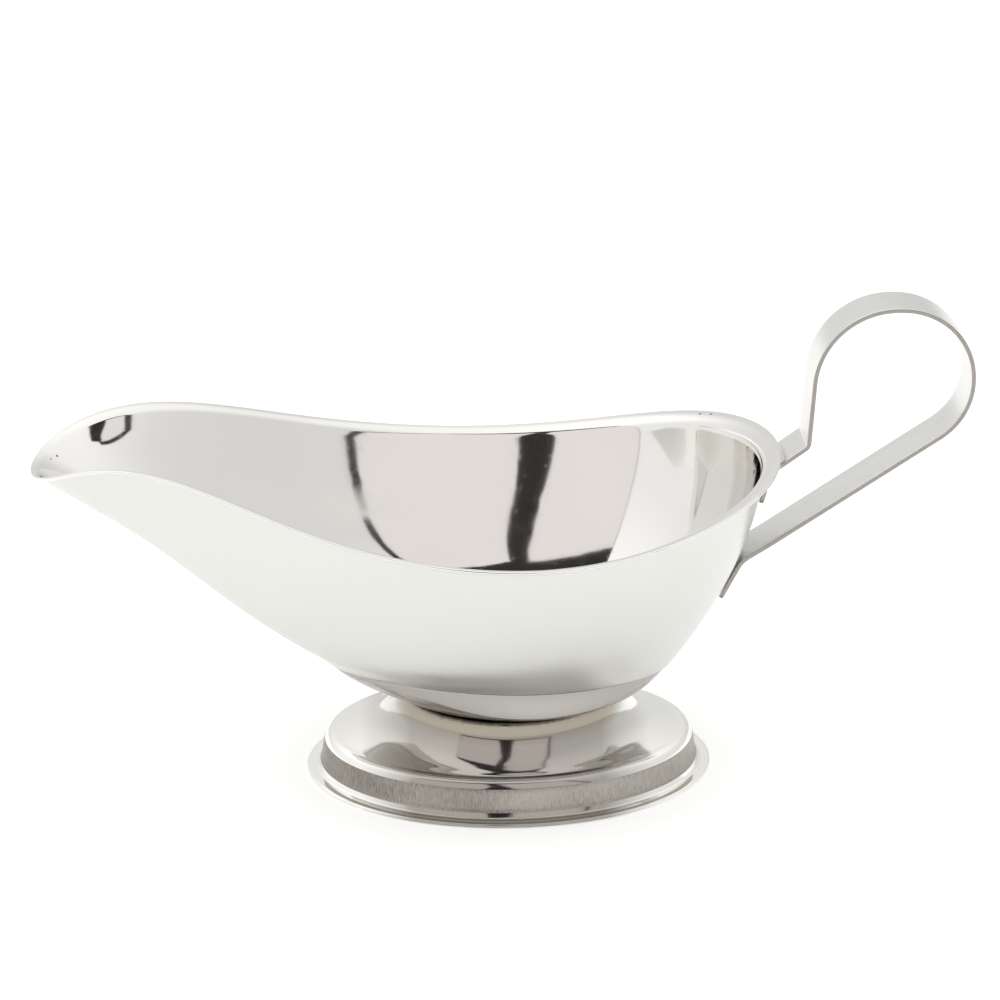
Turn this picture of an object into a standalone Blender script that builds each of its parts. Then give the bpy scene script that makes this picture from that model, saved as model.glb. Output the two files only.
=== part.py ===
"""Sauce boat in stainless steel: a drawn bowl with a pouring spout, an oval pressed foot and a strap handle.

Frame: metres, +Z up.  The origin is under the middle of the whole boat, in the plane that it stands on.
+X runs from the spout to the handle, and the boat is symmetric about the XZ plane.
A station angle of 0 is the spout's tip and 180 degrees is the back of the bowl, under the handle.
"""
import math

import bmesh
import bpy
import numpy as np

OBJECT_NAME = "gravy_boat"
SEGMENTS = 72                      # stations round the bowl and the foot
GAP = 0.0003                       # clearance between pieces that are welded on the real boat

# Bowl: heights and half widths are given every 22.5 degrees, from the spout's tip to the back.
BOWL_SHEET = 0.0007
RIM_FRONT_X = -0.1077
RIM_BACK_X = 0.0642
RIM_HALF_WIDTH = (0.0, 0.0149, 0.0223, 0.0330, 0.0423, 0.0449, 0.0392, 0.0236, 0.0)
RIM_HEIGHT = (0.0778, 0.0810, 0.0844, 0.0777, 0.0698, 0.0684, 0.0728, 0.0773, 0.0788)
FLANGE_WIDTH = (0.0012, 0.0016, 0.0020, 0.0020, 0.0020, 0.0024, 0.0032, 0.0038, 0.0038)
FLANGE_DROP = 0.15                 # fall of the flange towards the bowl, per unit of its width

# The wall is a cubic curve at each station; its ends' tilts and pulls are given every 45 degrees.
WALL_RINGS = 10
CREASE_TILT = (47.5, 30.5, 39.5, 53.0, 55.5)     # degrees above the horizontal, leaving the crease
RIM_TILT = (34.5, 63.0, 75.0, 79.0, 88.0)        # degrees above the horizontal, reaching the flange
CREASE_PULL = (0.42, 0.30, 0.30, 0.29, 0.29)     # part of the wall's chord
RIM_PULL = (0.43, 0.55, 0.42, 0.37, 0.32)

# The crease is the ledge where the wall meets the shallow pan of the bowl's bottom.
CREASE_X = -0.0008
CREASE_HALF_LENGTH = 0.0410
CREASE_HALF_WIDTH = 0.0245
CREASE_HEIGHT = (0.0294, 0.0305, 0.0294, 0.0282, 0.0273)     # every 45 degrees, from the spout's end
CREASE_LEDGE = 0.0008
CREASE_STEP = 0.00035
PAN_RINGS = 5
PAN_DROP = 0.4                     # part of the pan's depth that falls straight under the ledge
PAN_ROUND = 0.0025                 # pull that rounds the pan into its flat base
BASE_X = 0.0040
BASE_HALF_LENGTH = 0.0272
BASE_HALF_WIDTH = 0.0218
BASE_HEIGHT = 0.0213

# Foot: outer half length, half width and height of each oval, from the flange up to the land.
FOOT_X = 0.0015
FOOT_SHEET = 0.0009
FOOT_OVALS = (
    (0.0481, 0.0340, FOOT_SHEET),
    (0.0460, 0.0319, FOOT_SHEET),
    (0.0454, 0.0313, FOOT_SHEET),
    (0.0449, 0.0308, 0.0022),
    (0.0445, 0.0304, 0.0032),
    (0.0441, 0.02995, 0.0062),
    (0.0437, 0.0296, 0.0076),
    (0.0433, 0.0292, 0.0085),
    (0.0428, 0.0287, 0.00915),
    (0.0419, 0.0279, 0.0096),
    (0.0400, 0.0272, 0.0098),
    (0.0364, 0.02675, 0.0104),
    (0.0328, 0.0262, 0.0112),
    (0.0299, 0.0252, 0.0128),
    (0.0278, 0.0242, 0.0149),
    (0.0264, 0.0233, 0.0172),
    (0.0257, 0.02285, 0.0192),
    (0.0255, 0.02265, 0.0205),
    (0.0250, 0.0222, BASE_HEIGHT - GAP),
)

# Handle: corners of the strap's centre line in the XZ plane, each with its bend radius.
STRAP_WIDTH = 0.0124
STRAP_THICKNESS = 0.0010
BEND_STEP = math.radians(7.5)
STRAP_CORNERS = (
    ((0.0598, 0.0669), 0.0),
    ((0.0613, 0.0749), 0.0015),
    ((0.0700, 0.0812), 0.0016),
    ((0.0719, 0.1137), 0.0182),
    ((0.1072, 0.1137), 0.0173),
    ((0.1072, 0.0875), 0.0160),
    ((0.0556, 0.0530), 0.0060),
    ((0.0511, 0.0432), 0.0),
)

STEEL = (0.78, 0.78, 0.77, 1.0)


def even_curve(stations, angle):
    """Smooth curve through stations from 0 to 180 degrees that mirrors at both ends."""
    values = np.array(stations)
    count = len(values) - 1
    order = np.arange(count + 1)
    weight = np.where((order == 0) | (order == count), 0.5, 1.0)
    terms = 2.0 / count * np.cos(math.pi * np.outer(order, order) / count) @ (weight * values)
    return np.cos(np.multiply.outer(angle, order)) @ (weight * terms)


def odd_curve(stations, angle, slope=False):
    """Smooth curve through stations from 0 to 180 degrees that turns over at both ends."""
    values = np.array(stations)
    count = len(values) - 1
    order = np.arange(1, count)
    terms = 2.0 / count * np.sin(math.pi * np.outer(order, order) / count) @ values[1:-1]
    if slope:
        return np.cos(np.multiply.outer(angle, order)) @ (order * terms)
    return np.sin(np.multiply.outer(angle, order)) @ terms


def unit(vectors):
    return vectors / np.linalg.norm(vectors, axis=-1, keepdims=True)


def outward(tangent_x, tangent_y):
    """Horizontal unit normals of a plan curve that runs from the spout along the -Y side."""
    return unit(np.stack([tangent_y, -tangent_x, np.zeros_like(tangent_x)], axis=-1))


def rim_edge(angle):
    middle = (RIM_FRONT_X + RIM_BACK_X) / 2
    half = (RIM_BACK_X - RIM_FRONT_X) / 2
    edge = [middle - half * np.cos(angle), -odd_curve(RIM_HALF_WIDTH, angle), even_curve(RIM_HEIGHT, angle)]
    normal = outward(half * np.sin(angle), -odd_curve(RIM_HALF_WIDTH, angle, slope=True))
    return np.stack(edge, axis=-1), normal


def oval(angle, centre_x, half_length, half_width, height):
    flat = np.zeros_like(angle)
    points = [centre_x - half_length * np.cos(angle), -half_width * np.sin(angle), height + flat]
    return np.stack(points, axis=-1)


def tilted(plan_direction, degrees):
    """Raise horizontal unit vectors by an angle above the horizontal."""
    angle = np.radians(degrees)[:, None]
    return plan_direction * np.cos(angle) + np.array([0.0, 0.0, 1.0]) * np.sin(angle)


def cubic(start, start_handle, end_handle, end, t):
    s = 1.0 - t
    return s**3 * start + 3 * s * s * t * start_handle + 3 * s * t * t * end_handle + t**3 * end


def bowl_rings(angle):
    """Outer face of the bowl, as rings from the flange's edge down to the flat base."""
    edge, rim_normal = rim_edge(angle)
    width = even_curve(FLANGE_WIDTH, angle)[:, None]
    lip = edge - rim_normal * width - np.array([0.0, 0.0, FLANGE_DROP]) * width
    crease_height = even_curve(CREASE_HEIGHT, angle)
    crease = oval(angle, CREASE_X, CREASE_HALF_LENGTH, CREASE_HALF_WIDTH, crease_height)
    crease_normal = outward(CREASE_HALF_LENGTH * np.sin(angle), -CREASE_HALF_WIDTH * np.cos(angle))

    chord = lip - crease
    length = np.linalg.norm(chord, axis=-1, keepdims=True)
    heading = unit(chord * np.array([1.0, 1.0, 0.0]))
    leaving = tilted(unit(crease_normal + heading), even_curve(CREASE_TILT, angle))
    arriving = tilted(unit(rim_normal + heading), even_curve(RIM_TILT, angle))
    low_handle = crease + leaving * length * even_curve(CREASE_PULL, angle)[:, None]
    high_handle = lip - arriving * length * even_curve(RIM_PULL, angle)[:, None]
    rings = [edge]
    for step in range(WALL_RINGS + 1):
        rings.append(cubic(lip, high_handle, low_handle, crease, step / WALL_RINGS))

    ledge = crease - crease_normal * CREASE_LEDGE - np.array([0.0, 0.0, CREASE_STEP])
    base = oval(angle, BASE_X, BASE_HALF_LENGTH, BASE_HALF_WIDTH, BASE_HEIGHT)
    drop = (ledge - base) * np.array([0.0, 0.0, 1.0])
    ledge_handle = ledge - crease_normal * CREASE_LEDGE - drop * PAN_DROP
    base_handle = base + crease_normal * PAN_ROUND
    for step in range(PAN_RINGS + 1):
        rings.append(cubic(ledge, ledge_handle, base_handle, base, step / PAN_RINGS))
    return rings


def new_object(name, mesh, collection, colour, roughness):
    material = bpy.data.materials.new(name + "_steel")
    material.use_nodes = True
    shader = material.node_tree.nodes["Principled BSDF"]
    shader.inputs["Base Color"].default_value = colour
    shader.inputs["Metallic"].default_value = 1.0
    shader.inputs["Roughness"].default_value = roughness
    mesh.materials.append(material)
    piece = bpy.data.objects.new(name, mesh)
    collection.objects.link(piece)
    return piece


def sheet_shell(name, rings, closed_at_top, thickness, collection, roughness):
    """Loft the rings from top to bottom, close one end with a flat face, and thicken the sheet inward."""
    work = bmesh.new()
    rows = [[work.verts.new(point) for point in ring] for ring in rings]
    for upper, lower in zip(rows, rows[1:]):
        for i in range(len(upper)):
            k = (i + 1) % len(upper)
            work.faces.new((upper[i], lower[i], lower[k], upper[k]))
    work.faces.new(rows[0] if closed_at_top else rows[-1][::-1])
    mesh = bpy.data.meshes.new(name)
    work.to_mesh(mesh)
    work.free()
    mesh.shade_smooth()
    mesh.set_sharp_from_angle(angle=math.radians(40))
    piece = new_object(name, mesh, collection, STEEL, roughness)
    solid = piece.modifiers.new("sheet", "SOLIDIFY")
    solid.thickness = thickness
    solid.offset = -1.0
    return piece


def make_bowl(collection):
    angle = np.linspace(0.0, 2 * math.pi, SEGMENTS, endpoint=False)
    return sheet_shell("bowl", bowl_rings(angle), False, BOWL_SHEET, collection, 0.12)


def make_foot(collection):
    angle = np.linspace(0.0, 2 * math.pi, SEGMENTS, endpoint=False)
    rings = [oval(angle, FOOT_X, *size) for size in reversed(FOOT_OVALS)]
    return sheet_shell("foot", rings, True, FOOT_SHEET, collection, 0.2)


def bent_line(corners):
    """Centre line through the corners, each rounded by an arc of its own radius."""
    places = [np.array(place) for place, radius in corners]
    line = [places[0]]
    for i in range(1, len(corners) - 1):
        radius = corners[i][1]
        into = unit(places[i] - places[i - 1])
        out = unit(places[i + 1] - places[i])
        side = math.copysign(1.0, into[0] * out[1] - into[1] * out[0])
        turn = math.acos(float(np.clip(into @ out, -1.0, 1.0)))
        centre_line = np.array([-into[1], into[0]]) * side
        start = places[i] - into * radius * math.tan(turn / 2)
        steps = max(2, round(turn / BEND_STEP))
        for k in range(steps + 1):
            bend = turn * k / steps
            line.append(start + into * radius * math.sin(bend) + centre_line * radius * (1 - math.cos(bend)))
    line.append(places[-1])
    return np.array(line)


def strap_outline(line, thickness):
    """Closed outline of a strap seen edge on: up one face of it and back down the other."""
    along = np.gradient(line, axis=0)
    along[0] = line[1] - line[0]
    along[-1] = line[-1] - line[-2]
    side = unit(np.stack([-along[:, 1], along[:, 0]], axis=-1)) * thickness / 2
    return np.concatenate([line + side, (line - side)[::-1]])


def make_handle(collection):
    outline = strap_outline(bent_line(STRAP_CORNERS), STRAP_THICKNESS)
    curve = bpy.data.curves.new("handle_outline", "CURVE")
    curve.dimensions = "2D"
    curve.fill_mode = "BOTH"
    curve.extrude = STRAP_WIDTH / 2
    spline = curve.splines.new("POLY")
    spline.points.add(len(outline) - 1)
    for point, (x, z) in zip(spline.points, outline):
        point.co = (x, z, 0.0, 1.0)
    spline.use_cyclic_u = True
    guide = bpy.data.objects.new("handle_outline", curve)
    guide.rotation_euler = (math.radians(90), 0.0, 0.0)
    collection.objects.link(guide)
    bpy.context.view_layer.update()

    evaluated = guide.evaluated_get(bpy.context.evaluated_depsgraph_get())
    mesh = bpy.data.meshes.new_from_object(evaluated)
    mesh.transform(guide.matrix_world)
    bpy.data.objects.remove(guide)
    work = bmesh.new()
    work.from_mesh(mesh)
    bmesh.ops.remove_doubles(work, verts=work.verts, dist=1e-6)
    bmesh.ops.recalc_face_normals(work, faces=work.faces)
    work.to_mesh(mesh)
    work.free()
    mesh.materials.clear()
    mesh.shade_smooth()
    mesh.set_sharp_from_angle(angle=math.radians(30))
    return new_object("handle", mesh, collection, STEEL, 0.3)


def build():
    for old in list(bpy.data.objects):
        bpy.data.objects.remove(old)
    parts = bpy.data.collections.new(OBJECT_NAME)
    bpy.context.scene.collection.children.link(parts)
    make_bowl(parts)
    make_foot(parts)
    make_handle(parts)


build()
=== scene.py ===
"""Gravy boat in polished stainless steel, on a white sweep inside a light tent.

The driving dimensions are the ones that the solids were built from. Each solid is replaced by a
finer surface of the same shape, with the sheet's rolled edges and rounded corners, and the weld
marks and wear are in its material, along with painted shade and painted reflections.
"""
import math

import bpy
import numpy as np
from mathutils import Matrix


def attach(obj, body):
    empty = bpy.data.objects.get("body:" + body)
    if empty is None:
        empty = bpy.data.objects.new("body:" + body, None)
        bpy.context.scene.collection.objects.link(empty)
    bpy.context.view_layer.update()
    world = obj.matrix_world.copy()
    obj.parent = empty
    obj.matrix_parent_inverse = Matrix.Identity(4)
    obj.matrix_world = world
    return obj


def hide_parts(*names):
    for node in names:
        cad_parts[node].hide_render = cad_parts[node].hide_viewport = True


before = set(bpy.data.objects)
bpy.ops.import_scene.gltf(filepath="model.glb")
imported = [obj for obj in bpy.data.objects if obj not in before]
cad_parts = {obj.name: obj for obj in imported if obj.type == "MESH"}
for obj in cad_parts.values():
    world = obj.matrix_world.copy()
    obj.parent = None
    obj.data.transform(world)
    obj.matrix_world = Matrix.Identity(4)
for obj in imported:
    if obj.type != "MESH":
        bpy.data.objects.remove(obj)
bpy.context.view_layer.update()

STATIONS = 384                     # round the bowl and the foot
EDGE_RINGS = 4                     # on the flat of a flange
BEAD_STEPS = 8                     # over the rolled edge of a sheet
BEND_PULL = 0.6                    # how squarely a pressed corner is filled

# ---- Bowl ---------------------------------------------------------------------------------------
BOWL_SHEET = 0.0007
RIM_FRONT_X = -0.1077
RIM_BACK_X = 0.0642
RIM_HALF_WIDTH = (0.0, 0.0149, 0.0223, 0.0330, 0.0423, 0.0449, 0.0392, 0.0236, 0.0)
RIM_HEIGHT = (0.0778, 0.0810, 0.0844, 0.0777, 0.0698, 0.0684, 0.0728, 0.0773, 0.0788)
FLANGE_WIDTH = (0.0012, 0.0016, 0.0020, 0.0020, 0.0020, 0.0024, 0.0032, 0.0038, 0.0038)
FLANGE_DROP = 0.15
FLANGE_BEND = 0.55                 # part of the flange's width taken by the bend into the wall
FLANGE_BEND_STEPS = 10
BEND_OVERLAP = 0.9                 # part of the bend's reach where the wall's own rings begin
WALL_RINGS = 64
LEDGE_RINGS = 3                    # between the wall and the pan
WALL_END = EDGE_RINGS + FLANGE_BEND_STEPS + WALL_RINGS
WALL_START = WALL_END - WALL_RINGS - 2      # the satin finish runs from here to the wall's end
PAN_START = WALL_END + LEDGE_RINGS
CREASE_TILT = (47.5, 30.5, 39.5, 53.0, 55.5)     # degrees, every 45 degrees from the spout
RIM_TILT = (34.5, 63.0, 75.0, 79.0, 88.0)
CREASE_PULL = (0.42, 0.30, 0.30, 0.29, 0.29)     # part of the wall's chord
RIM_PULL = (0.43, 0.55, 0.42, 0.37, 0.32)
CREASE_X = -0.0008
CREASE_HALF_LENGTH = 0.0410
CREASE_HALF_WIDTH = 0.0245
CREASE_HEIGHT = (0.0294, 0.0305, 0.0294, 0.0282, 0.0273)
CREASE_LEDGE = 0.0008
CREASE_STEP = 0.00035
PAN_RINGS = 22
PAN_DROP = 0.4                     # part of the pan's depth that falls straight under the ledge
PAN_ROUND = 0.0025                 # pull that rounds the pan into its flat base
BASE_X = 0.0040
BASE_HALF_LENGTH = 0.0272
BASE_HALF_WIDTH = 0.0218
BASE_HEIGHT = 0.0213

# ---- Foot ---------------------------------------------------------------------------------------
FOOT_X = 0.0015
FOOT_SHEET = 0.0009
FOOT_LAND = 0.0210
FOOT_STEPS = 9                     # rings between two of the pressed profile's ovals
STEP_BEND = 0.0005                 # rounding where the flange turns up into the brushed band
STEP_BEND_STEPS = 6
BAND_START = EDGE_RINGS + STEP_BEND_STEPS + 1     # the brushed band runs up three ovals
BAND_END = BAND_START + 3 * FOOT_STEPS
FOOT_FLANGE = (
    (0.0481, 0.0340, FOOT_SHEET),
    (0.0454, 0.0313, FOOT_SHEET),
    (0.0449, 0.0308, 0.0022),
)
FOOT_BODY = (
    (0.0449, 0.0308, 0.0022),
    (0.0445, 0.0304, 0.0032),
    (0.0441, 0.02995, 0.0062),
    (0.0437, 0.0296, 0.0076),
    (0.0433, 0.0292, 0.0085),
    (0.0428, 0.0287, 0.00915),
    (0.0419, 0.0279, 0.0096),
    (0.0400, 0.0272, 0.0098),
    (0.0364, 0.02675, 0.0104),
    (0.0328, 0.0262, 0.0112),
    (0.0299, 0.0252, 0.0128),
    (0.0278, 0.0242, 0.0149),
    (0.0264, 0.0233, 0.0172),
    (0.0257, 0.02285, 0.0192),
    (0.0255, 0.02265, 0.0205),
    (0.0250, 0.0222, FOOT_LAND),
)

# ---- Handle -------------------------------------------------------------------------------------
STRAP_WIDTH = 0.0124
STRAP_THICKNESS = 0.0010
STRAP_EDGE = 0.00022               # rounding of the strap's cut edges
STRAP_END = 0.0022                 # rounding of the strap's two ends, seen from its face
STRAP_PITCH = 0.0006
ARC_STEPS = 40                     # along each bend
SECTION_STEPS = 12                 # across the strap's face
EDGE_STEPS = 4                     # round each of its long edges
UPPER_TAB_WRAP = 0.0075            # how far a tab's cross curve blends out along the strap
LOWER_TAB_WRAP = 0.0180
UPPER_TAB_SAG = 0.0006
LOWER_TAB_SAG = 0.0009
SIDE_FACING = 0.6                  # cut sides are the faces turned at least this far sideways
SHARP_ANGLE = math.radians(60)
STRAP_CORNERS = (
    ((0.0598, 0.0669), 0.0),
    ((0.0613, 0.0749), 0.0015),
    ((0.0700, 0.0812), 0.0016),
    ((0.0719, 0.1137), 0.0182),
    ((0.1072, 0.1137), 0.0173),
    ((0.1072, 0.0875), 0.0160),
    ((0.0556, 0.0530), 0.0060),
    ((0.0511, 0.0432), 0.0),
)

# ---- Camera -------------------------------------------------------------------------------------
CAMERA_PLACE = (-0.0375, -0.6816, 0.3505)
CAMERA_YAW = math.radians(3.11)
CAMERA_PITCH = math.radians(22.525)
CAMERA_ROLL = math.radians(0.13)
CAMERA_LENS = 115.2
CAMERA_SENSOR = 36.0

# ---- Light tent: the opening at its front, which the polished steel reflects ---------------------
TENT_WALL_LIGHT = 0.92
TENT_ROOF_LIGHT = 1.22
TENT_BACK_LIGHT = 0.86
TENT_SPOUT_LIGHT = 1.10
TENT_HANDLE_LIGHT = 0.90
TENT_COLOUR = (1.0, 1.0, 0.985)
ROOF_SPAN = (0.25, 0.85)           # where each side's light sets in and is full, from -1 to 1
BACK_SPAN = (0.20, 0.90)
SIDE_SPAN = (-0.8, 0.8)
FLOOR_REACH = 4.0
FLOOR_DROP = 0.0001                # keeps the sweep just clear of the foot
FLOOR_WHITE = (0.93, 0.93, 0.93)
FLOOR_ROUGHNESS = 0.8
FLOOR_GLOW = 0.22
OPENING_DEPTH = -0.75
CARD_STEP = 0.004                  # each card stands a little in front of the last
OPENING_LEFT = -0.745
OPENING_RIGHT_LOW = 0.50           # the right-hand edge leans in towards the top
OPENING_RIGHT_HIGH = 0.32
OPENING_LOW = 0.135
OPENING_HIGH = 0.80
OPENING_COLOUR = (0.94, 0.895, 0.885)
HEM_WIDTH = 0.040
SIDE_HEM_WIDTH = 0.014
SIDE_HEM_COLOUR = (0.42, 0.41, 0.41)
SILL = 0.045
HEAD_LOW = 0.76                    # lower edge of the dark band over the opening, at its ends
HEAD_DIP = 0.61                    # and in the middle, over the camera
HEAD_HIGH = 0.86
STAND_X = -0.05                    # camera's stand: wide at its feet, then a narrow top that leans
STAND_FEET = 0.085
STAND_WAIST = 0.045
STAND_WAIST_HEIGHT = 0.35
STAND_TOP = 0.035
STAND_TOP_HEIGHT = 0.64
STAND_LEAN = 0.06
DARK = (0.030, 0.028, 0.028)


# ==== Shapes =====================================================================================
def even_curve(stations, angle):
    """Smooth curve through stations from 0 to 180 degrees that mirrors at both ends."""
    values = np.array(stations)
    count = len(values) - 1
    order = np.arange(count + 1)
    weight = np.where((order == 0) | (order == count), 0.5, 1.0)
    terms = 2.0 / count * np.cos(math.pi * np.outer(order, order) / count) @ (weight * values)
    return np.cos(np.multiply.outer(angle, order)) @ (weight * terms)


def odd_curve(stations, angle, slope=False):
    """Smooth curve through stations from 0 to 180 degrees that turns over at both ends."""
    values = np.array(stations)
    count = len(values) - 1
    order = np.arange(1, count)
    terms = 2.0 / count * np.sin(math.pi * np.outer(order, order) / count) @ values[1:-1]
    if slope:
        return np.cos(np.multiply.outer(angle, order)) @ (order * terms)
    return np.sin(np.multiply.outer(angle, order)) @ terms


def unit(vectors):
    return vectors / np.maximum(np.linalg.norm(vectors, axis=-1, keepdims=True), 1e-12)


def outward(tangent_x, tangent_y):
    return unit(np.stack([tangent_y, -tangent_x, np.zeros_like(tangent_x)], axis=-1))


def oval(angle, centre_x, half_length, half_width, height):
    flat = np.zeros_like(angle)
    points = [centre_x - half_length * np.cos(angle), -half_width * np.sin(angle), height + flat]
    return np.stack(points, axis=-1)


def tilted(plan_direction, degrees):
    angle = np.radians(degrees)[:, None]
    return plan_direction * np.cos(angle) + np.array([0.0, 0.0, 1.0]) * np.sin(angle)


def cubic(start, start_handle, end_handle, end, t):
    s = 1.0 - t
    return s**3 * start + 3 * s * s * t * start_handle + 3 * s * t * t * end_handle + t**3 * end


def rounded_corner(before, corner, after, reach, steps):
    """Points of a smooth bend that replaces a corner, from reach before it to reach after it."""
    start = corner + unit(before - corner) * reach
    end = corner + unit(after - corner) * reach
    start_handle = start + (corner - start) * BEND_PULL
    end_handle = end + (corner - end) * BEND_PULL
    return [cubic(start, start_handle, end_handle, end, k / steps) for k in range(steps + 1)]


def bowl_rings(angle):
    """Outer face of the bowl, as rings from the flange's edge down to the flat base."""
    middle = (RIM_FRONT_X + RIM_BACK_X) / 2
    half = (RIM_BACK_X - RIM_FRONT_X) / 2
    rim_x = middle - half * np.cos(angle)
    rim_y = -odd_curve(RIM_HALF_WIDTH, angle)
    edge = np.stack([rim_x, rim_y, even_curve(RIM_HEIGHT, angle)], axis=-1)
    rim_normal = outward(half * np.sin(angle), -odd_curve(RIM_HALF_WIDTH, angle, slope=True))
    width = even_curve(FLANGE_WIDTH, angle)[:, None]
    lip = edge - rim_normal * width - np.array([0.0, 0.0, FLANGE_DROP]) * width
    crease_height = even_curve(CREASE_HEIGHT, angle)
    crease = oval(angle, CREASE_X, CREASE_HALF_LENGTH, CREASE_HALF_WIDTH, crease_height)
    crease_normal = outward(CREASE_HALF_LENGTH * np.sin(angle), -CREASE_HALF_WIDTH * np.cos(angle))
    chord = lip - crease
    length = np.linalg.norm(chord, axis=-1, keepdims=True)
    heading = unit(chord * np.array([1.0, 1.0, 0.0]))
    leaving = tilted(unit(crease_normal + heading), even_curve(CREASE_TILT, angle))
    arriving = tilted(unit(rim_normal + heading), even_curve(RIM_TILT, angle))
    low_handle = crease + leaving * length * even_curve(CREASE_PULL, angle)[:, None]
    high_handle = lip - arriving * length * even_curve(RIM_PULL, angle)[:, None]

    reach = width * FLANGE_BEND
    start = BOWL_SHEET / 2
    rolled = edge - unit(edge - lip) * start
    flat = lip + unit(edge - lip) * reach - rolled
    rings = [rolled + flat * k / EDGE_RINGS for k in range(EDGE_RINGS)]
    rings += rounded_corner(edge, lip, lip - arriving, reach, FLANGE_BEND_STEPS)
    first = (reach / length).mean() * BEND_OVERLAP
    for step in range(1, WALL_RINGS + 1):
        t = first + (1.0 - first) * step / WALL_RINGS
        rings.append(cubic(lip, high_handle, low_handle, crease, t))

    down = np.array([0.0, 0.0, 1.0])
    ledge = crease - crease_normal * CREASE_LEDGE - down * CREASE_STEP
    base = oval(angle, BASE_X, BASE_HALF_LENGTH, BASE_HALF_WIDTH, BASE_HEIGHT)
    drop = (ledge - base) * down
    for k in range(1, LEDGE_RINGS + 1):
        rings.append(crease + (ledge - crease) * k / (LEDGE_RINGS + 1))
    ledge_handle = ledge - crease_normal * CREASE_LEDGE - drop * PAN_DROP
    base_handle = base + crease_normal * PAN_ROUND
    for step in range(PAN_RINGS + 1):
        rings.append(cubic(ledge, ledge_handle, base_handle, base, step / PAN_RINGS))
    return rings, oval(angle, BASE_X, 0.0, 0.0, BASE_HEIGHT)[0]


def foot_rings(angle):
    """Outer face of the foot, from the flange's edge up to the land under the bowl."""
    def ring(size):
        return oval(angle, FOOT_X, *size)
    edge, inner, step_top = (ring(size) for size in FOOT_FLANGE)
    rolled = edge - unit(edge - inner) * FOOT_SHEET / 2
    rings = [rolled + (inner - rolled) * k / EDGE_RINGS for k in range(EDGE_RINGS)]
    reach = np.full((len(angle), 1), STEP_BEND)
    rings += rounded_corner(edge, inner, step_top, reach, STEP_BEND_STEPS)
    sizes = np.array(FOOT_BODY)
    padded = np.vstack([2 * sizes[0] - sizes[1], sizes, 2 * sizes[-1] - sizes[-2]])
    for i in range(1, len(padded) - 2):
        before, here, after, beyond = padded[i - 1:i + 3]
        for k in range(FOOT_STEPS):
            t = k / FOOT_STEPS
            size = 0.5 * (2 * here + (after - before) * t
                          + (2 * before - 5 * here + 4 * after - beyond) * t**2
                          + (3 * here - before - 3 * after + beyond) * t**3)
            rings.append(ring(size))
    rings.append(ring(sizes[-1]))
    return rings, oval(angle, FOOT_X, 0.0, 0.0, FOOT_LAND)[0]


def grid_normals(rings):
    """Unit normals of a closed grid of rings, by central differences."""
    grid = np.array(rings)
    around = np.roll(grid, -1, axis=1) - np.roll(grid, 1, axis=1)
    along = np.gradient(grid, axis=0)
    return unit(np.cross(along, around))


def shell(name, rings, pole, thickness, facing, stretches):
    """Sheet of even thickness from an outer face, rolled over at its edge and closed at its pole.

    facing is 1 where the first ring is the upper edge and -1 where it is the lower one.
    stretches are (first ring, last ring, material index) for parts of the outer face.
    """
    outer = np.array(rings)
    normal = grid_normals(rings) * facing
    inner = outer - normal * thickness
    along = unit(outer[0] - outer[1])
    middle = outer[0] - normal[0] * thickness / 2
    bead = [middle + thickness / 2 * (normal[0] * math.cos(math.pi * k / BEAD_STEPS)
                                      + along * math.sin(math.pi * k / BEAD_STEPS))
            for k in range(1, BEAD_STEPS)]
    sheet = list(outer[::-1]) + bead + list(inner)
    stations = outer.shape[1]
    points = np.concatenate(sheet)
    count = len(sheet)
    up = np.array([0.0, 0.0, 1.0]) * (thickness if facing > 0 else -thickness)
    points = np.vstack([points, pole, pole + up])
    faces = []
    for row in range(count - 1):
        for i in range(stations):
            k = (i + 1) % stations
            here, beyond = row * stations, (row + 1) * stations
            face = (here + i, here + k, beyond + k, beyond + i)
            faces.append(face if facing > 0 else face[::-1])
    last = (count - 1) * stations
    poles = (count * stations, count * stations + 1)
    for i in range(stations):
        k = (i + 1) % stations
        first_fan = (i, poles[0], k)
        last_fan = (last + i, last + k, poles[1])
        faces.append(first_fan if facing > 0 else first_fan[::-1])
        faces.append(last_fan if facing > 0 else last_fan[::-1])
    piece = make_mesh(name, points, faces)
    for first, last_ring, index in stretches:
        low = (len(rings) - 1 - last_ring) * stations
        high = (len(rings) - 1 - first) * stations
        for polygon in piece.data.polygons[low:high]:
            polygon.material_index = index
    return piece


def make_mesh(name, points, faces):
    mesh = bpy.data.meshes.new(name)
    mesh.from_pydata(np.asarray(points).tolist(), [], faces)
    mesh.update()
    mesh.shade_smooth()
    piece = bpy.data.objects.new(name, mesh)
    bpy.context.scene.collection.objects.link(piece)
    return piece


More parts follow.
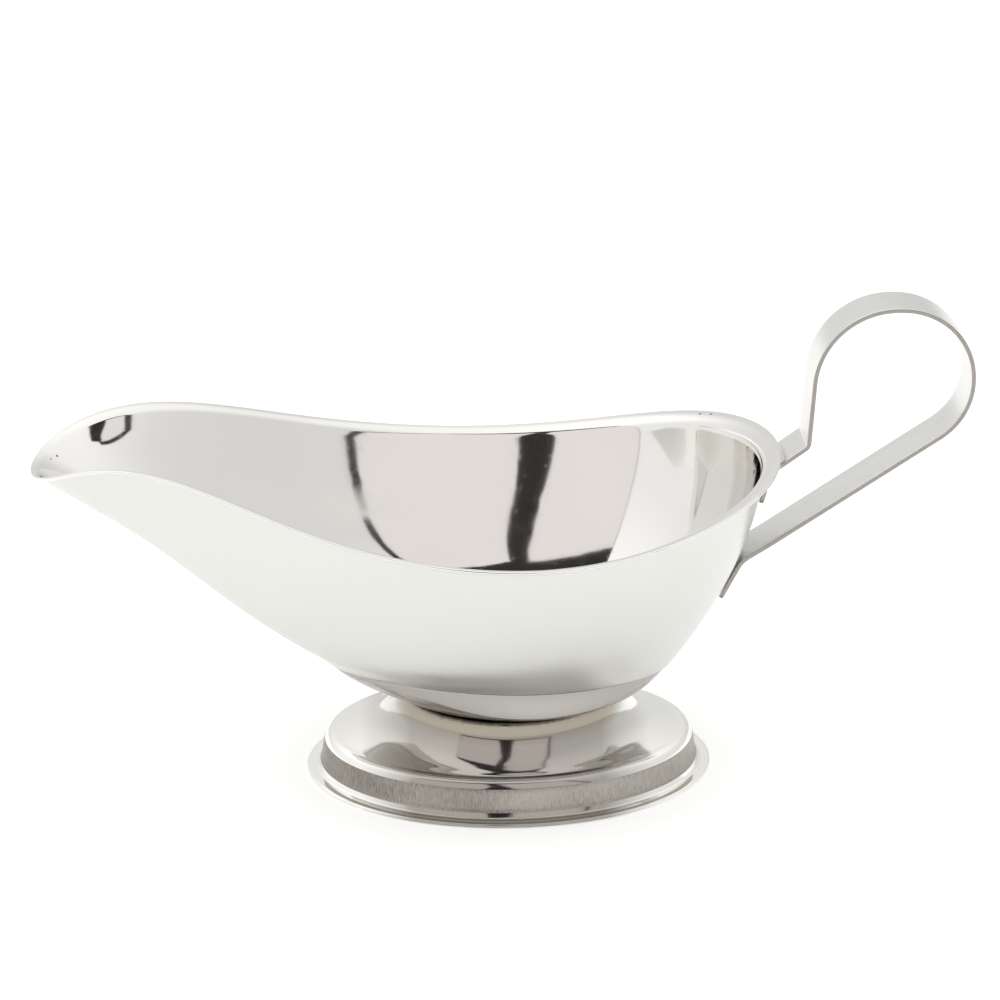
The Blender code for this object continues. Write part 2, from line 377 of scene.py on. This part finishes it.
def bent_line(corners, pitch):
    """Evenly spaced centre line through the corners, each rounded by an arc of its own radius."""
    places = [np.array(place) for place, radius in corners]
    line = [places[0]]
    for i in range(1, len(corners) - 1):
        radius = corners[i][1]
        into = unit(places[i] - places[i - 1])
        out = unit(places[i + 1] - places[i])
        side = math.copysign(1.0, into[0] * out[1] - into[1] * out[0])
        turn = math.acos(float(np.clip(into @ out, -1.0, 1.0)))
        towards_centre = np.array([-into[1], into[0]]) * side
        start = places[i] - into * radius * math.tan(turn / 2)
        for k in range(ARC_STEPS + 1):
            bend = turn * k / ARC_STEPS
            line.append(start + into * radius * math.sin(bend)
                        + towards_centre * radius * (1 - math.cos(bend)))
    line.append(places[-1])
    line = np.array(line)
    run = np.concatenate([[0.0], np.cumsum(np.linalg.norm(np.diff(line, axis=0), axis=1))])
    keep = np.concatenate([[True], np.diff(run) > 1e-9])
    run, line = run[keep], line[keep]
    count = int(run[-1] / pitch)
    even = np.linspace(0.0, run[-1], count + 1)
    even_line = [np.interp(even, run, line[:, axis]) for axis in range(2)]
    return np.stack(even_line, axis=-1), even


def strap_section(half_width, half_thickness, radius):
    """Closed outline of the strap's cross section, as (across, through) pairs."""
    section = []
    for sign_y, sign_t, start in ((1, 1, 0), (-1, 1, 1), (-1, -1, 2), (1, -1, 3)):
        centre = ((half_width - radius) * sign_y, (half_thickness - radius) * sign_t)
        for k in range(EDGE_STEPS + 1):
            bend = math.pi / 2 * (start + k / EDGE_STEPS)
            y = centre[0] + radius * math.cos(bend)
            section.append((y, centre[1] + radius * math.sin(bend)))
        if start in (0, 2):
            step = -2 * (half_width - radius) * sign_y / SECTION_STEPS
            section += [(centre[0] + step * k, section[-1][1]) for k in range(1, SECTION_STEPS)]
    return np.array(section)


def make_handle():
    line, run = bent_line(STRAP_CORNERS, STRAP_PITCH)
    along = unit(np.gradient(line, axis=0))
    side = np.stack([-along[:, 1], along[:, 0]], axis=-1)
    from_ends = np.minimum(run, run[-1] - run)
    short = np.clip(STRAP_END - from_ends, 0.0, STRAP_END)
    half_width = STRAP_WIDTH / 2 - STRAP_END + np.sqrt(np.maximum(STRAP_END**2 - short**2, 0.0))
    half_width = np.maximum(half_width, STRAP_WIDTH / 2 - STRAP_END)
    upper = np.clip(1 - run / UPPER_TAB_WRAP, 0, 1) * UPPER_TAB_SAG
    lower = np.clip(1 - (run[-1] - run) / LOWER_TAB_WRAP, 0, 1) * LOWER_TAB_SAG
    sag = upper + lower
    rows = []
    for i in range(len(line)):
        section = strap_section(half_width[i], STRAP_THICKNESS / 2, STRAP_EDGE)
        across = section[:, 0]
        shift = sag[i] * (across / (STRAP_WIDTH / 2)) ** 2
        x = line[i, 0] + side[i, 0] * section[:, 1] - shift
        z = line[i, 1] + side[i, 1] * section[:, 1]
        rows.append(np.stack([x, across, z], axis=-1))
    count = len(rows[0])
    points = np.concatenate(rows)
    faces = []
    for row in range(len(rows) - 1):
        for i in range(count):
            k = (i + 1) % count
            here, beyond = row * count, (row + 1) * count
            faces.append((here + i, here + k, beyond + k, beyond + i))
    last = (len(rows) - 1) * count
    faces.append(tuple(reversed(range(count))))
    faces.append(tuple(last + i for i in range(count)))
    piece = make_mesh("strap_handle", points, faces)
    for polygon in piece.data.polygons:
        polygon.material_index = int(abs(polygon.normal.y) > SIDE_FACING)
    piece.data.set_sharp_from_angle(angle=SHARP_ANGLE)
    return piece


# ==== Materials ==================================================================================
# Marks in the polish: the centre and radius of each.
WELD_MARKS = (
    ((0.0589, 0.0036, 0.0715), 0.0009),
    ((0.0590, -0.0030, 0.0715), 0.0009),
)
WEAR_PITS = (
    ((-0.1022, 0.0080, 0.0776), 0.0004),
    ((-0.1035, 0.0062, 0.0776), 0.0003),
    ((0.0492, 0.0302, 0.0760), 0.0005),
    ((0.0516, 0.0283, 0.0766), 0.0005),
)
MARK_BROWN = (0.10, 0.07, 0.05)
MARK_STRENGTH = 0.9
POLISH_DULL = (0.77, 0.76, 0.74)
POLISH_BRIGHT = (0.84, 0.83, 0.81)
SATIN_DULL = (0.70, 0.70, 0.675)
SATIN_BRIGHT = (0.745, 0.745, 0.725)
# Painted reflection: the brushed band is coloured dark for the dark things it reflects.
BAND_PAINTED_REFLECTION_DARK = (0.19, 0.175, 0.15)
BAND_PAINTED_REFLECTION_LIGHT = (0.40, 0.38, 0.345)
STRAP_DULL = (0.70, 0.695, 0.68)
STRAP_BRIGHT = (0.80, 0.797, 0.785)
# Painted reflection: the foot is coloured darker and warmer for the dark things it reflects; its
# ends stay bright.
FOOT_PAINTED_REFLECTION_DARK = (0.37, 0.35, 0.32)
FOOT_PAINTED_REFLECTION_LIGHT = (0.44, 0.42, 0.39)
FOOT_END = (0.90, 0.89, 0.86)
FOOT_END_REACH = (0.022, 0.034)    # from the middle, where the brighter ends set in and are full
# Painted reflection: a warm brown on the neck, standing in for what the neck reflects.
NECK_PAINTED_REFLECTION = (0.33, 0.295, 0.24)
NECK_PAINTED_REFLECTION_HEIGHT = (0.0155, 0.0180)
NECK_PAINTED_REFLECTION_STRENGTH = 0.9
# Painted shade with soot: the crevice where the neck meets the bowl, under the pan, is coloured
# black.
JOINT_SOOT_AND_SHADE = (0.05, 0.04, 0.035)
JOINT_SOOT_AND_SHADE_HEIGHT = (0.0203, 0.0213)
JOINT_SOOT_AND_SHADE_STRENGTH = 0.95
JOINT_SOOT_AND_SHADE_RAGGED = 0.0006
# Painted reflection: the pan under the bowl is coloured darker for the dark things it reflects.
PAN_PAINTED_REFLECTION_DARK = (0.38, 0.36, 0.335)
PAN_PAINTED_REFLECTION_LIGHT = (0.50, 0.48, 0.455)
# Painted shade: the ledge between the wall and the pan is coloured dark for the shade in the
# crease.
CREASE_PAINTED_SHADE_DARK = (0.16, 0.15, 0.135)
CREASE_PAINTED_SHADE_LIGHT = (0.34, 0.32, 0.29)
STRAP_EDGE_DULL = (0.26, 0.235, 0.21)
STRAP_EDGE_BRIGHT = (0.42, 0.40, 0.375)


class Nodes:
    """Short hand for building one material's node tree."""

    def __init__(self, name):
        self.material = bpy.data.materials.new(name)
        self.material.use_nodes = True
        self.tree = self.material.node_tree
        self.shader = self.tree.nodes["Principled BSDF"]
        coordinates = self.tree.nodes.new("ShaderNodeTexCoord")
        self.place = coordinates.outputs["Object"]

    def node(self, kind, **values):
        made = self.tree.nodes.new(kind)
        for key, value in values.items():
            if key in made.inputs:
                made.inputs[key].default_value = value
            else:
                setattr(made, key, value)
        return made

    def link(self, source, target):
        self.tree.links.new(source, target)

    def stretched(self, scale, rotation=(0.0, 0.0, 0.0)):
        mapping = self.node("ShaderNodeMapping")
        mapping.inputs["Scale"].default_value = scale
        mapping.inputs["Rotation"].default_value = rotation
        self.link(self.place, mapping.inputs["Vector"])
        return mapping.outputs["Vector"]

    def noise(self, vector, scale, detail=3.0, roughness=0.5):
        made = self.node("ShaderNodeTexNoise", Scale=scale, Detail=detail, Roughness=roughness)
        self.link(vector, made.inputs["Vector"])
        return made.outputs["Fac"]

    def ramp(self, value, low, high, out_low, out_high):
        made = self.node("ShaderNodeMapRange")
        made.inputs["From Min"].default_value = low
        made.inputs["From Max"].default_value = high
        made.inputs["To Min"].default_value = out_low
        made.inputs["To Max"].default_value = out_high
        self.link(value, made.inputs["Value"])
        return made.outputs["Result"]

    def maths(self, operation, first, second):
        made = self.node("ShaderNodeMath", operation=operation)
        for socket, value in zip(made.inputs, (first, second)):
            if isinstance(value, (int, float)):
                socket.default_value = value
            else:
                self.link(value, socket)
        return made.outputs[0]

    def tint(self, value, dark, light):
        made = self.node("ShaderNodeMix", data_type="RGBA")
        made.inputs[6].default_value = (*dark, 1.0)
        made.inputs[7].default_value = (*light, 1.0)
        self.link(value, made.inputs[0])
        return made.outputs[2]

    def mixed(self, value, first, colour):
        """First colour, a socket, turning into a plain colour as the value goes from 0 to 1."""
        made = self.node("ShaderNodeMix", data_type="RGBA")
        made.inputs[7].default_value = (*colour, 1.0)
        self.link(value, made.inputs[0])
        self.link(first, made.inputs[6])
        return made.outputs[2]

    def spot(self, centre, radius):
        """Strength of a ragged round mark: full over its middle and 0 outside it."""
        made = self.node("ShaderNodeVectorMath", operation="DISTANCE")
        self.link(self.place, made.inputs[0])
        made.inputs[1].default_value = centre
        ragged = self.maths("MULTIPLY", self.noise(self.place, 1200.0, 2.0), radius * 0.8)
        distance = self.maths("ADD", made.outputs["Value"], ragged)
        return self.ramp(distance, radius * 0.9, radius * 1.3, MARK_STRENGTH, 0.0)

    def bump(self, height, strength, distance):
        made = self.node("ShaderNodeBump", Strength=strength, Distance=distance)
        self.link(height, made.inputs["Height"])
        self.link(made.outputs["Normal"], self.shader.inputs["Normal"])


def polished_steel(name, gloss, wear, dull=POLISH_DULL, bright=POLISH_BRIGHT, marks=()):
    """Bright drawn steel: clouded polish, faint scratches and slightly uneven sheet. The crease and
    the pan pass in darker colours, which are painted shade and a painted reflection.
    """
    m = Nodes(name)
    m.shader.inputs["Metallic"].default_value = 1.0
    cloud = m.noise(m.place, 28.0, 4.0)
    scratches = m.noise(m.stretched((900.0, 60.0, 900.0), (0.3, 0.2, 0.5)), 1.0, 2.0)
    fine = m.ramp(scratches, 0.60, 0.78, 0.0, 1.0)
    smudge = m.ramp(cloud, 0.35, 0.70, gloss, gloss + wear)
    roughness = m.maths("ADD", smudge, m.maths("MULTIPLY", fine, 0.06))
    m.link(roughness, m.shader.inputs["Roughness"])
    colour = m.tint(cloud, dull, bright)
    for centre, radius in marks:
        colour = m.mixed(m.spot(centre, radius), colour, MARK_BROWN)
    m.link(colour, m.shader.inputs["Base Color"])
    m.bump(m.noise(m.place, 75.0, 2.0), 0.10, 0.0004)
    return m.material


def foot_steel(name):
    """Foot steel coloured darker and warmer as a painted reflection, with brighter ends, a painted
    brown reflection on the neck, and black where it meets the bowl: painted shade with soot."""
    m = Nodes(name)
    m.shader.inputs["Metallic"].default_value = 1.0
    cloud = m.noise(m.place, 40.0, 4.0)
    grain = m.noise(m.stretched((900.0, 900.0, 60.0)), 1.0, 2.0)
    split = m.node("ShaderNodeSeparateXYZ")
    m.link(m.place, split.inputs[0])
    height = split.outputs["Z"]
    reach = m.maths("ABSOLUTE", split.outputs["X"], 0.0)
    m.link(m.ramp(cloud, 0.3, 0.7, 0.07, 0.13), m.shader.inputs["Roughness"])
    # painted reflection: the foot's darker, warmer colour
    polished = m.tint(cloud, FOOT_PAINTED_REFLECTION_DARK, FOOT_PAINTED_REFLECTION_LIGHT)
    at_ends = m.ramp(reach, *FOOT_END_REACH, 0.0, 1.0)
    # painted reflection on the neck
    on_neck = m.ramp(height, *NECK_PAINTED_REFLECTION_HEIGHT, 0.0, NECK_PAINTED_REFLECTION_STRENGTH)
    # painted shade with soot in the crevice under the bowl
    ragged = m.maths("ADD", height, m.maths("MULTIPLY", grain, JOINT_SOOT_AND_SHADE_RAGGED))
    at_joint = m.ramp(ragged, *JOINT_SOOT_AND_SHADE_HEIGHT, 0.0, JOINT_SOOT_AND_SHADE_STRENGTH)
    ends = m.mixed(at_ends, polished, FOOT_END)
    neck_reflection_painted = m.mixed(on_neck, ends, NECK_PAINTED_REFLECTION)
    sooted_and_shaded = m.mixed(at_joint, neck_reflection_painted, JOINT_SOOT_AND_SHADE)
    m.link(sooted_and_shaded, m.shader.inputs["Base Color"])
    m.bump(grain, 0.05, 0.0001)
    return m.material


def drawn_steel(name):
    """Outside of the wall: a fine satin finish that blurs what it reflects."""
    m = Nodes(name)
    m.shader.inputs["Metallic"].default_value = 1.0
    cloud = m.noise(m.place, 18.0, 3.0)
    m.link(m.ramp(cloud, 0.3, 0.7, 0.30, 0.36), m.shader.inputs["Roughness"])
    m.link(m.tint(cloud, SATIN_DULL, SATIN_BRIGHT), m.shader.inputs["Base Color"])
    m.bump(m.noise(m.place, 1400.0, 2.0), 0.06, 0.00005)
    return m.material


def brushed_band(name):
    """Upright side of the foot, brushed up and down, with worn streaks; its dark colour is a
    painted reflection.
    """
    m = Nodes(name)
    m.shader.inputs["Metallic"].default_value = 1.0
    grain = m.noise(m.stretched((3600.0, 3600.0, 60.0)), 1.0, 3.0, 0.6)
    worn = m.noise(m.place, 26.0, 2.0)
    streaks = m.maths("ADD", m.maths("MULTIPLY", grain, 0.5), m.maths("MULTIPLY", worn, 0.75))
    m.link(m.ramp(grain, 0.3, 0.7, 0.24, 0.40), m.shader.inputs["Roughness"])
    # the band's dark colour is a painted reflection; the streaks are wear
    colour = m.tint(m.ramp(streaks, 0.46, 0.74, 0.0, 1.0), BAND_PAINTED_REFLECTION_DARK, BAND_PAINTED_REFLECTION_LIGHT)
    m.link(colour, m.shader.inputs["Base Color"])
    m.bump(grain, 0.25, 0.0001)
    return m.material


def satin_steel(name):
    """Faces of the strap, brushed along its length."""
    m = Nodes(name)
    m.shader.inputs["Metallic"].default_value = 1.0
    grain = m.noise(m.stretched((40.0, 2600.0, 40.0)), 1.0, 3.0, 0.6)
    m.link(m.ramp(grain, 0.3, 0.7, 0.24, 0.36), m.shader.inputs["Roughness"])
    m.link(m.tint(grain, STRAP_DULL, STRAP_BRIGHT), m.shader.inputs["Base Color"])
    m.bump(grain, 0.12, 0.0001)
    return m.material


def cut_edge(name):
    """Sheared edge of the strap: rougher, browner and streaked across its thickness."""
    m = Nodes(name)
    m.shader.inputs["Metallic"].default_value = 1.0
    streaks = m.noise(m.stretched((700.0, 700.0, 700.0)), 1.0, 3.0)
    m.link(m.ramp(streaks, 0.3, 0.7, 0.30, 0.48), m.shader.inputs["Roughness"])
    m.link(m.tint(streaks, STRAP_EDGE_DULL, STRAP_EDGE_BRIGHT), m.shader.inputs["Base Color"])
    m.bump(streaks, 0.2, 0.0001)
    return m.material


# ==== Pieces =====================================================================================
def place(piece, node, slot, materials):
    for material in materials:
        piece.data.materials.append(material)
    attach(piece, "root")
    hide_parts(node)
    return piece


angle = np.linspace(0.0, 2 * math.pi, STATIONS, endpoint=False)
bowl_outer, bowl_pole = bowl_rings(angle)
foot_outer, foot_pole = foot_rings(angle)
bowl_parts = [
    (WALL_START, WALL_END, 1),
    (WALL_END, PAN_START, 2),
    (PAN_START, PAN_START + PAN_RINGS, 3),
]
foot_parts = [(BAND_START, BAND_END, 1)]
place(shell("bowl_shell", bowl_outer, bowl_pole, BOWL_SHEET, 1, bowl_parts), "bowl", "bowl_steel",
      [polished_steel("bowl_polish", 0.04, 0.05, marks=WELD_MARKS + WEAR_PITS),
       drawn_steel("bowl_satin"),
       # the crease's dark colour is painted shade
       polished_steel("bowl_crease_painted_shade", 0.25, 0.10, CREASE_PAINTED_SHADE_DARK, CREASE_PAINTED_SHADE_LIGHT),
       # the pan's darker colour is a painted reflection
       polished_steel("bowl_pan_painted_reflection", 0.06, 0.05, PAN_PAINTED_REFLECTION_DARK, PAN_PAINTED_REFLECTION_LIGHT)])
place(shell("foot_pedestal", foot_outer, foot_pole, FOOT_SHEET, -1, foot_parts),
      # the foot's dark colours, polished and brushed, are painted reflections
      "foot", "foot_steel", [foot_steel("foot_polish_painted_reflection"), brushed_band("foot_brushed_painted_reflection")])
place(make_handle(), "handle", "handle_steel",
      [satin_steel("strap_satin"), cut_edge("strap_edge")])


# ==== Stage ======================================================================================
def make_floor():
    mesh = bpy.data.meshes.new("floor")
    signs = ((-1, -1), (1, -1), (1, 1), (-1, 1))
    corners = [(x * FLOOR_REACH, y * FLOOR_REACH, 0.0) for x, y in signs]
    mesh.from_pydata(corners, [], [(0, 1, 2, 3)])
    floor = bpy.data.objects.new("floor", mesh)
    bpy.context.scene.collection.objects.link(floor)
    floor.location.z = -FLOOR_DROP
    m = Nodes("white_sweep")
    m.shader.inputs["Base Color"].default_value = (*FLOOR_WHITE, 1.0)
    m.shader.inputs["Roughness"].default_value = FLOOR_ROUGHNESS
    m.shader.inputs["Emission Color"].default_value = (1.0, 1.0, 1.0, 1.0)
    m.shader.inputs["Emission Strength"].default_value = FLOOR_GLOW
    mesh.materials.append(m.material)


def make_world():
    world = bpy.data.worlds.new("light_tent")
    bpy.context.scene.world = world
    world.use_nodes = True
    tree = world.node_tree
    background = tree.nodes["Background"]
    split = tree.nodes.new("ShaderNodeSeparateXYZ")
    tree.links.new(tree.nodes.new("ShaderNodeTexCoord").outputs["Generated"], split.inputs[0])

    def shade(axis, low, high, dim, bright):
        made = tree.nodes.new("ShaderNodeMapRange")
        made.interpolation_type = "SMOOTHSTEP"
        made.inputs["From Min"].default_value = low
        made.inputs["From Max"].default_value = high
        made.inputs["To Min"].default_value = dim
        made.inputs["To Max"].default_value = bright
        tree.links.new(split.outputs[axis], made.inputs["Value"])
        return made.outputs["Result"]

    def times(first, second):
        made = tree.nodes.new("ShaderNodeMath")
        made.operation = "MULTIPLY"
        tree.links.new(first, made.inputs[0])
        tree.links.new(second, made.inputs[1])
        return made.outputs[0]

    roof = shade("Z", *ROOF_SPAN, TENT_WALL_LIGHT, TENT_ROOF_LIGHT)
    back = shade("Y", *BACK_SPAN, 1.0, TENT_BACK_LIGHT)
    side = shade("X", *SIDE_SPAN, TENT_SPOUT_LIGHT, TENT_HANDLE_LIGHT)
    tree.links.new(times(times(roof, back), side), background.inputs["Strength"])
    background.inputs["Color"].default_value = (*TENT_COLOUR, 1.0)


def make_card(name, outline, depth, colour):
    """Flat glowing card across the front of the tent, seen only in the steel."""
    mesh = bpy.data.meshes.new(name)
    mesh.from_pydata([(x, depth, z) for x, z in outline], [], [tuple(range(len(outline)))])
    card = bpy.data.objects.new(name, mesh)
    bpy.context.scene.collection.objects.link(card)
    material = bpy.data.materials.new(name)
    material.use_nodes = True
    material.node_tree.nodes.clear()
    glow = material.node_tree.nodes.new("ShaderNodeEmission")
    glow.inputs["Color"].default_value = (*colour, 1.0)
    output = material.node_tree.nodes.new("ShaderNodeOutputMaterial")
    material.node_tree.links.new(glow.outputs[0], output.inputs["Surface"])
    mesh.materials.append(material)
    card.visible_camera = False
    card.visible_diffuse = False
    card.visible_shadow = False
    card.visible_transmission = False


def make_tent_front():
    """The opening at the front of the tent, with its hem and the camera on its stand."""
    left, low, high = OPENING_LEFT, OPENING_LOW, OPENING_HIGH
    right, right_high = OPENING_RIGHT_LOW, OPENING_RIGHT_HIGH
    hem_depth = OPENING_DEPTH + CARD_STEP
    head_depth = OPENING_DEPTH + 2 * CARD_STEP
    stand_depth = OPENING_DEPTH + 3 * CARD_STEP
    hem_low, hem_high = right + HEM_WIDTH, right_high + HEM_WIDTH
    side_hem = left - SIDE_HEM_WIDTH
    top_x = STAND_X - STAND_LEAN
    opening = [(left, low), (right, low), (right_high, high), (left, high)]
    hem = [(right, low), (hem_low, low), (hem_high, high), (right_high, high)]
    side = [(side_hem, low), (left, low), (left, high), (side_hem, high)]
    sill = [(left, low - SILL), (right, low - SILL / 2), (right, low), (left, low)]
    head = [
        (right_high, HEAD_LOW),
        (right_high, HEAD_HIGH),
        (left, HEAD_HIGH),
        (left, HEAD_LOW),
        (STAND_X, HEAD_DIP),
    ]
    stand = [
        (STAND_X - STAND_FEET, low),
        (STAND_X + STAND_FEET, low),
        (STAND_X + STAND_WAIST, STAND_WAIST_HEIGHT),
        (top_x + STAND_TOP, STAND_TOP_HEIGHT),
        (top_x - STAND_TOP, STAND_TOP_HEIGHT),
        (STAND_X - STAND_WAIST, STAND_WAIST_HEIGHT),
    ]
    make_card("tent_opening", opening, OPENING_DEPTH, OPENING_COLOUR)
    make_card("tent_hem", hem, hem_depth, DARK)
    make_card("tent_side_hem", side, hem_depth, SIDE_HEM_COLOUR)
    make_card("tent_sill", sill, hem_depth, DARK)
    make_card("tent_head", head, head_depth, DARK)
    make_card("camera_stand", stand, stand_depth, DARK)


def make_camera():
    cy, sy = math.cos(CAMERA_YAW), math.sin(CAMERA_YAW)
    cp, sp = math.cos(CAMERA_PITCH), math.sin(CAMERA_PITCH)
    ahead = np.array([sy * cp, cy * cp, -sp])
    right = np.array([cy, -sy, 0.0])
    down = np.cross(ahead, right)
    cr, sr = math.cos(CAMERA_ROLL), math.sin(CAMERA_ROLL)
    across = right * cr + down * sr
    below = -right * sr + down * cr
    camera = bpy.data.objects.new("camera", bpy.data.cameras.new("camera"))
    bpy.context.scene.collection.objects.link(camera)
    camera.data.lens = CAMERA_LENS
    camera.data.sensor_width = CAMERA_SENSOR
    camera.data.clip_start = 0.01
    rows = [[across[i], -below[i], -ahead[i], CAMERA_PLACE[i]] for i in range(3)]
    camera.matrix_world = Matrix(rows + [[0, 0, 0, 1]])
    bpy.context.scene.camera = camera


make_floor()
make_world()
make_tent_front()
make_camera()
bpy.context.scene.view_settings.view_transform = "Standard"
